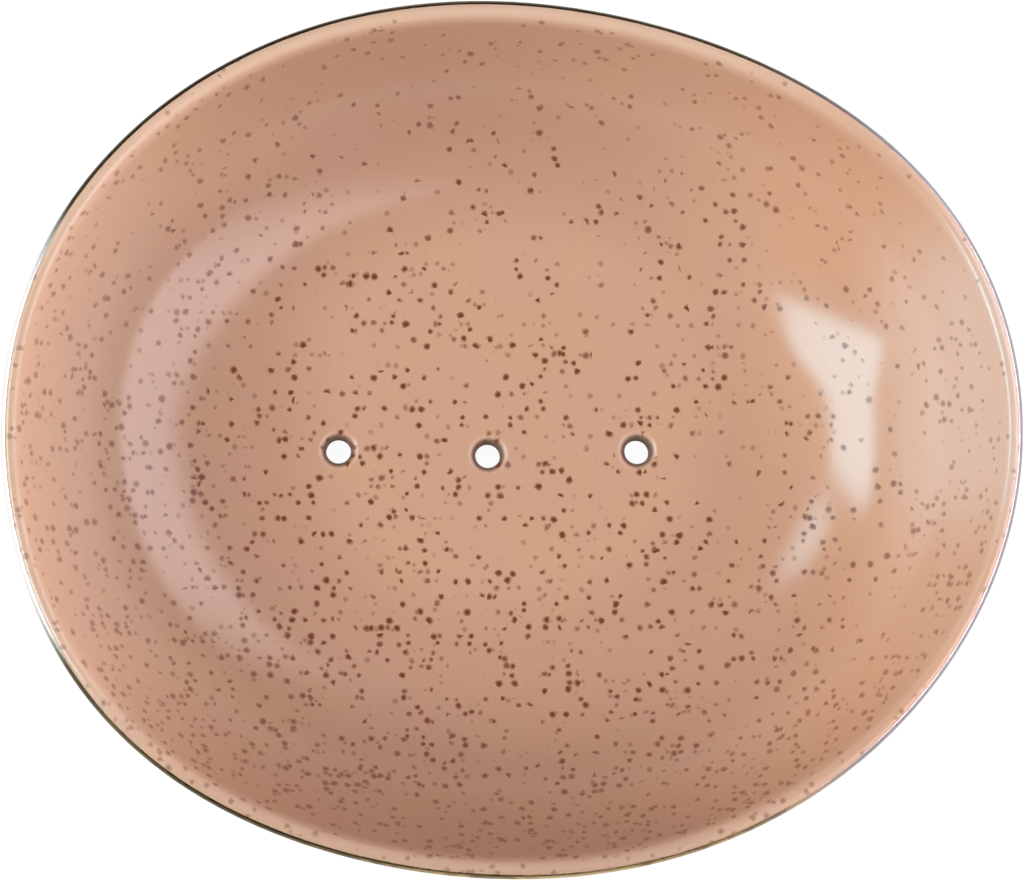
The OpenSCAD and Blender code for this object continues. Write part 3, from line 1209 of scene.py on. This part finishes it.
class DISH_OT_clay_feet(bpy.types.Operator):
    """Builds the four bare clay feet"""

    bl_idname = "dish.clay_feet"
    bl_label = "Clay feet"

    def execute(self, context):
        """Turns each foot and fits its top to the clay above it."""
        material = found("bare_stoneware", clay_finish)
        rows = self.section(context.scene.dish_feet)
        for index, name in enumerate(FOOT_NAMES):
            mesh = made_by(
                shared("Clay foot", foot_tree),
                "clay_foot_" + name,
                self.outline(index),
                rows,
                material,
                centre=MOUNTS["rest_" + name]["pos_m"],
                carrier=frame["nodes"]["bowl_body"],
                high=context.scene.dish_shape.height,
            )
            with opened(mesh) as form:
                weld(form)
            new_piece("clay_foot_" + name, mesh, material, CLAY_SLOT, "foot_" + name)
        return {"FINISHED"}

    def section(self, feet):
        """The foot's flat tip, rounded edge, side with its flare, and hidden top."""
        tip = feet.tip_radius
        edge = feet.edge_radius
        rows = [Vector((0, 0, 0))]
        for turn in quarter_turns(FOOT_EDGE_STEPS):
            rows.append(Vector((tip - edge + edge * math.sin(turn), edge * (1 - math.cos(turn)), 0)))
        for step in range(1, FOOT_SIDE_STEPS + 1):
            way = step / FOOT_SIDE_STEPS
            spread = feet.flare * math.exp((way - 1) * FLARE_SHARPNESS)
            radius = tip + (feet.root_radius - tip) * way + spread
            rows.append(Vector((radius, edge * (1 - way), way)))
        rows.append(Vector((feet.root_radius + feet.flare, FOOT_ROOTING, 1)))
        rows.append(Vector((0, FOOT_ROOTING, 1)))
        return rows

    def outline(self, index):
        """The foot's slightly uneven outline, different for each foot."""
        points = []
        for way in map(way_out, turns(FOOT_STEPS)):
            place = way * FOOT_WOBBLE_PACE + Vector((0, 0, index * FOOT_WOBBLE_GAP))
            points.append(way * (1 + FOOT_WOBBLE * noise.noise(place)))
        return points


# Lamps. Where a softbox stands: quarter turns round from the right, its elevation in degrees, its
# size, and how far its middle is off the line to the dish, sideways and up.
KEY_STAND = (2, 45, (0.9, 1.0), (0.0, 0.0))
STRIP_STAND = (0, 42, (2.1, 1.3), (0.0, 0.25))
LEFT_STAND = (2, 0, (2.2, 0.9), (0.0, 0.46))
FRONT_STAND = (3, *LEFT_STAND[1:])
RIGHT_STAND = (0, *LEFT_STAND[1:])
SOFTBOX_DISTANCE = 1.0
MIRRORED_DISTANCE = 0.98
PANEL_DISTANCE = 1.2
LIT = ("lights",)
MIRRORED = ("mirrored",)

# The left softbox's outline: its straight side, its soft edge, and the lines of its cut corners
KEY_SIDE = 0.345
KEY_SOFT = 0.04
KEY_BELOW = (0.51, -0.37)
KEY_ABOVE = (-0.27, 0.37)
KEY_LEFT = (-0.27, -0.21)

# The same softbox as the glaze mirrors it. Lines are given as a slope and a start.
PANEL_SOFT = 0.1
PANEL_AHEAD = (0.12, 0.285)
PANEL_BEHIND = (0.5, -0.265)
PANEL_LOWEST = (-0.85, 0.005)
PANEL_LOWEST_AT_MOST = -0.03
PANEL_HIGHEST = (1.6, 0.21)
PANEL_HIGHEST_AT_LEAST = 0.26
PANEL_CORNER = (-0.4, 0.49)
TAIL_MIDDLE = (-0.31, 0.29)
TAIL_FADE = (0.16, 0.03, 0.0, 0.7)

# The long right softbox, plain and as the glaze mirrors it
STRIP_BEND = 0.5
STRIP_BELOW = (-0.36, -0.10)
STRIP_ABOVE = (0.34, 0.20)
STRIP_ENDS = (1.0, 0.55)
BAND_BELOW = (-0.24, -0.17)
BAND_ABOVE = (0.28, 0.05)
BAND_ENDS = (0.95, 0.3)
BAND_LEAN = -0.25
BAND_SPREAD = 0.45

# The panels: their soft ends, where the low one hands over to the wide one, and the wide one's top
ENDS_FADE = (1.1, 0.5)
SEAM_FADE = (0.14, 0.26)
TOP_FADE = (0.9, 0.6)


def soft_edge(tree, distance, soft):
    """One inside an edge and nought outside, by the distance in from it."""
    return soft_step(tree, distance, -soft / 2, soft / 2)


def key_shade(tree, side, rise):
    """The left softbox: straight on one side, and cut slantwise above and below."""
    back = calc(tree, "SUBTRACT", KEY_SIDE, side)
    over = calc(tree, "SUBTRACT", rise, line(tree, back, *KEY_BELOW))
    under = calc(tree, "SUBTRACT", line(tree, back, *KEY_ABOVE), rise)
    edges = [soft_edge(tree, edge, KEY_SOFT) for edge in (back, over, under)]
    return product(tree, *edges, soft_step(tree, side, *KEY_LEFT))


def key_mirror_shade(tree, side, rise):
    """The left softbox as the glaze mirrors it: a slanted panel with a narrow waist and a faint tail."""
    lowest = calc(tree, "MINIMUM", line(tree, side, *PANEL_LOWEST), PANEL_LOWEST_AT_MOST)
    highest = calc(tree, "MAXIMUM", line(tree, side, *PANEL_HIGHEST), PANEL_HIGHEST_AT_LEAST)
    highest = calc(tree, "MINIMUM", line(tree, side, *PANEL_CORNER), highest)
    edges = (
        calc(tree, "SUBTRACT", line(tree, rise, *PANEL_AHEAD), side),
        calc(tree, "SUBTRACT", side, line(tree, rise, *PANEL_BEHIND)),
        calc(tree, "SUBTRACT", rise, lowest),
        calc(tree, "SUBTRACT", highest, rise),
    )
    panel = product(tree, *(soft_edge(tree, edge, PANEL_SOFT) for edge in edges))
    aside = calc(tree, "SUBTRACT", side, TAIL_MIDDLE[0])
    up = calc(tree, "SUBTRACT", rise, TAIL_MIDDLE[1])
    away = calc(tree, "SQRT", calc(tree, "ADD", product(tree, aside, aside), product(tree, up, up)))
    return calc(tree, "MAXIMUM", panel, soft_step(tree, away, *TAIL_FADE))


def bent_level(tree, side, rise):
    """Height over the middle line of the long softbox, which bends up at its ends."""
    bend = product(tree, product(tree, side, side), STRIP_BEND)
    return calc(tree, "SUBTRACT", rise, bend)


def strip_shade(tree, side, rise):
    """The long right softbox, which fades at its edges."""
    level = bent_level(tree, side, rise)
    ends = soft_step(tree, calc(tree, "ABSOLUTE", side), *STRIP_ENDS)
    below = soft_step(tree, level, *STRIP_BELOW)
    return product(tree, below, soft_step(tree, level, *STRIP_ABOVE), ends)


def strip_mirror_shade(tree, side, rise):
    """The right softbox as the glaze mirrors it: a narrow bent band that widens at its ends."""
    level = bent_level(tree, side, rise)
    reach = calc(tree, "ABSOLUTE", side)
    wider = line(tree, side, BAND_LEAN, product(tree, reach, BAND_SPREAD))
    below = soft_step(tree, level, *BAND_BELOW)
    above = soft_step(tree, calc(tree, "SUBTRACT", level, wider), *BAND_ABOVE)
    return product(tree, below, above, soft_step(tree, reach, *BAND_ENDS))


def low_shade(tree, side, rise):
    """A low strip that stands on the table, soft above and at its ends."""
    ends = soft_step(tree, calc(tree, "ABSOLUTE", side), *ENDS_FADE)
    return product(tree, ends, soft_step(tree, rise, *reversed(SEAM_FADE)))


def wide_shade(tree, side, rise):
    """A wide panel over the low strip, soft all round."""
    ends = soft_step(tree, calc(tree, "ABSOLUTE", side), *ENDS_FADE)
    return product(tree, ends, soft_step(tree, rise, *SEAM_FADE), soft_step(tree, rise, *TOP_FADE))


def softbox(name, stand, distance, tint, brightness, shade, seen):
    """A rectangular lamp that faces the dish. shade builds its soft outline from the distances
    sideways and up, and seen says whether it lights the scene, is mirrored in it, or both."""
    quarter, elevation, size, middle = stand
    azimuth = quarter * math.pi / 2
    elevation = math.radians(elevation)
    light = bpy.data.lights.new(name, "AREA")
    light.shape = "RECTANGLE"
    light.size, light.size_y = size
    light.energy = math.pi * size[0] * size[1]
    light.use_nodes = True
    tree = light.node_tree
    tree.nodes.clear()
    surface = split(tree, put(tree, "ShaderNodeNewGeometry").outputs["Parametric"])
    side, rise = (
        line(tree, surface[axis], size[axis], middle[axis] - size[axis] / 2) for axis in (0, 1)
    )
    strength = product(tree, shade(tree, side, rise), brightness)
    emission = put(tree, "ShaderNodeEmission", {"Color": rgba(tint), "Strength": strength}).outputs[0]
    put(tree, "ShaderNodeOutputLight", {"Surface": emission})
    level = math.cos(elevation)
    outward = Vector((math.cos(azimuth) * level, math.sin(azimuth) * level, math.sin(elevation)))
    sideways = Vector((-math.sin(azimuth), math.cos(azimuth), 0))
    upwards = outward.cross(sideways)
    place = outward * distance + sideways * middle[0] + upwards * middle[1]
    turn = Matrix((sideways, upwards, outward)).transposed()
    lamp = linked(name, light)
    lamp.matrix_world = Matrix.Translation(place) @ turn.to_4x4()
    lamp.visible_camera = False
    lamp.visible_diffuse = "lights" in seen
    lamp.visible_glossy = "mirrored" in seen


# Stage
FLOOR_RADIUS = 3.0
FLOOR_SEGMENTS = 96
FLOOR_CLOUDS = 0.2
FLOOR_GAP = 0.05 * MM
FLOOR_GLOW = 0.94
HORIZON_FADE = (0.0, 0.35)
TARGET = Vector((-0.10 * MM, -0.26 * MM, INNER_HIGH.z - 1.9 * MM))
SENSOR_WIDTH = 36.0
NEAREST_SEEN = 0.01
FARTHEST_SEEN = 20.0


class DISH_OT_stage(bpy.types.Operator):
    """Sets the pale floor, the soft lamps, the background and the camera"""

    bl_idname = "dish.stage"
    bl_label = "Stage"

    def execute(self, context):
        """Builds the stage from the studio's values."""
        studio = context.scene.dish_studio
        self.floor(studio)
        self.world(context.scene, studio)
        key = (LEFT_TINT, studio.key, key_shade, LIT)
        key_mirrored = (LEFT_MIRROR_TINT, studio.key_mirrored, key_mirror_shade, MIRRORED)
        strip = (RIGHT_TINT, studio.strip, strip_shade, LIT)
        strip_mirrored = (RIGHT_MIRROR_TINT, studio.strip_mirrored, strip_mirror_shade, MIRRORED)
        softbox("softbox_left", KEY_STAND, SOFTBOX_DISTANCE, *key)
        softbox("mirrored_left", KEY_STAND, MIRRORED_DISTANCE, *key_mirrored)
        softbox("softbox_right", STRIP_STAND, SOFTBOX_DISTANCE, *strip)
        softbox("mirrored_right", STRIP_STAND, MIRRORED_DISTANCE, *strip_mirrored)
        for name, stand, brightness, shade, seen in (
            ("wide_panel_left", LEFT_STAND, studio.wide_left, wide_shade, LIT + MIRRORED),
            ("wide_panel_front", FRONT_STAND, studio.wide_front, wide_shade, LIT),
            ("low_panel_left", LEFT_STAND, studio.low_left, low_shade, LIT),
            ("low_panel_right", RIGHT_STAND, studio.low_right, low_shade, LIT),
        ):
            softbox(name, stand, PANEL_DISTANCE, NO_TINT, brightness, shade, seen)
        self.camera(context.scene, studio)
        context.scene.view_settings.view_transform = "Standard"
        return {"FINISHED"}

    def floor(self, studio):
        """A wide pale disc, a hair under the feet so that it doesn't flicker with them."""
        mesh = bpy.data.meshes.new("studio_floor")
        level = Matrix.Translation((0, 0, CAD_LOW[2] - FLOOR_GAP))
        disc = {"segments": FLOOR_SEGMENTS, "radius": FLOOR_RADIUS, "matrix": level}
        with opened(mesh) as form:
            bmesh.ops.create_circle(form, cap_ends=True, **disc)
        finish, tree, place = new_finish("studio_floor")
        rays = put(tree, "ShaderNodeLightPath").outputs
        eye = calc(tree, "MAXIMUM", rays["Is Camera Ray"], rays["Is Glossy Ray"])
        eye = calc(tree, "MAXIMUM", eye, rays["Is Transmission Ray"])
        glow = product(tree, eye, FLOOR_GLOW * studio.background)
        even = put(tree, "ShaderNodeCombineColor", dict.fromkeys(range(3), glow))
        tone = mixed(tree, clouds(tree, place, FLOOR_CLOUDS), FLOOR_DARK, FLOOR_LIGHT)
        joined = {
            "Base Color": mixed(tree, eye, tone, FLOOR_SEEN),
            "Roughness": 1.0,
            "Specular IOR Level": 0.0,
            "Emission Color": even.outputs[0],
            "Emission Strength": 1.0,
        }
        end_finish(tree, joined)
        mesh.materials.append(finish)
        linked("studio_floor", mesh)

    def world(self, scene, studio):
        """Even light for the dish, and white walls under a dim ceiling for the camera and for mirrors."""
        world = bpy.data.worlds.new("studio_light")
        scene.world = world
        world.use_nodes = True
        tree = world.node_tree
        tree.nodes.clear()
        rays = put(tree, "ShaderNodeLightPath").outputs
        way = split(tree, put(tree, "ShaderNodeTexCoord").outputs["Generated"])
        dim = studio.background * studio.ceiling
        above = soft_step(tree, way["Z"], *HORIZON_FADE, studio.background, dim)
        mirror = calc(tree, "MAXIMUM", rays["Is Glossy Ray"], rays["Is Transmission Ray"])
        met = soft_step(tree, mirror, 0.0, 1.0, studio.fill, above)
        strength = soft_step(tree, rays["Is Camera Ray"], 0.0, 1.0, met, studio.background)
        light = put(tree, "ShaderNodeBackground", {"Color": (1, 1, 1, 1), "Strength": strength}).outputs[0]
        put(tree, "ShaderNodeOutputWorld", {"Surface": light})

    def camera(self, scene, studio):
        """Looks down on the dish, leaning a little."""
        back = Vector((math.tan(studio.tilt_x), math.tan(studio.tilt_y), 1)).normalized()
        side = Vector((0, 1, 0)).cross(back).normalized()
        turn = Matrix((side, back.cross(side), back)).transposed()
        lens = bpy.data.cameras.new("photo_camera")
        lens.lens = studio.focal_length
        lens.sensor_width = SENSOR_WIDTH
        lens.clip_start = NEAREST_SEEN
        lens.clip_end = FARTHEST_SEEN
        camera = linked("photo_camera", lens)
        camera.matrix_world = Matrix.Translation(TARGET + back * studio.distance) @ turn.to_4x4()
        scene.camera = camera


STEPS = (
    DISH_OT_clay_body,
    DISH_OT_inner_glaze,
    DISH_OT_outer_glaze,
    DISH_OT_gilt_line,
    DISH_OT_clay_feet,
    DISH_OT_stage,
)


class DISH_PT_panel(bpy.types.Panel):
    """Lists the steps that build the dish"""

    bl_idname = "DISH_PT_panel"
    bl_label = "Soap Dish"
    bl_space_type = "VIEW_3D"
    bl_region_type = "UI"
    bl_category = "Soap Dish"

    def draw(self, context):
        """One button for each step."""
        for step in STEPS:
            self.layout.operator(step.bl_idname)


GROUPS = {
    "dish_shape": DishShape,
    "dish_feet": DishFeet,
    "dish_glaze": DishGlaze,
    "dish_gilt": DishGilt,
    "dish_studio": DishStudio,
}


def register():
    """Adds the classes and the scene's settings."""
    for name, group in GROUPS.items():
        bpy.utils.register_class(group)
        setattr(bpy.types.Scene, name, bpy.props.PointerProperty(type=group))
    for kind in (*STEPS, DISH_PT_panel):
        bpy.utils.register_class(kind)


def unregister():
    """Takes the classes and the settings away again."""
    for kind in (DISH_PT_panel, *reversed(STEPS)):
        bpy.utils.unregister_class(kind)
    for name, group in GROUPS.items():
        delattr(bpy.types.Scene, name)
        bpy.utils.unregister_class(group)


def main():
    """Builds the dish and its stage."""
    register()
    for step in STEPS:
        family, name = step.bl_idname.split(".")
        getattr(getattr(bpy.ops, family), name)()


if __name__ == "__main__":
    main()
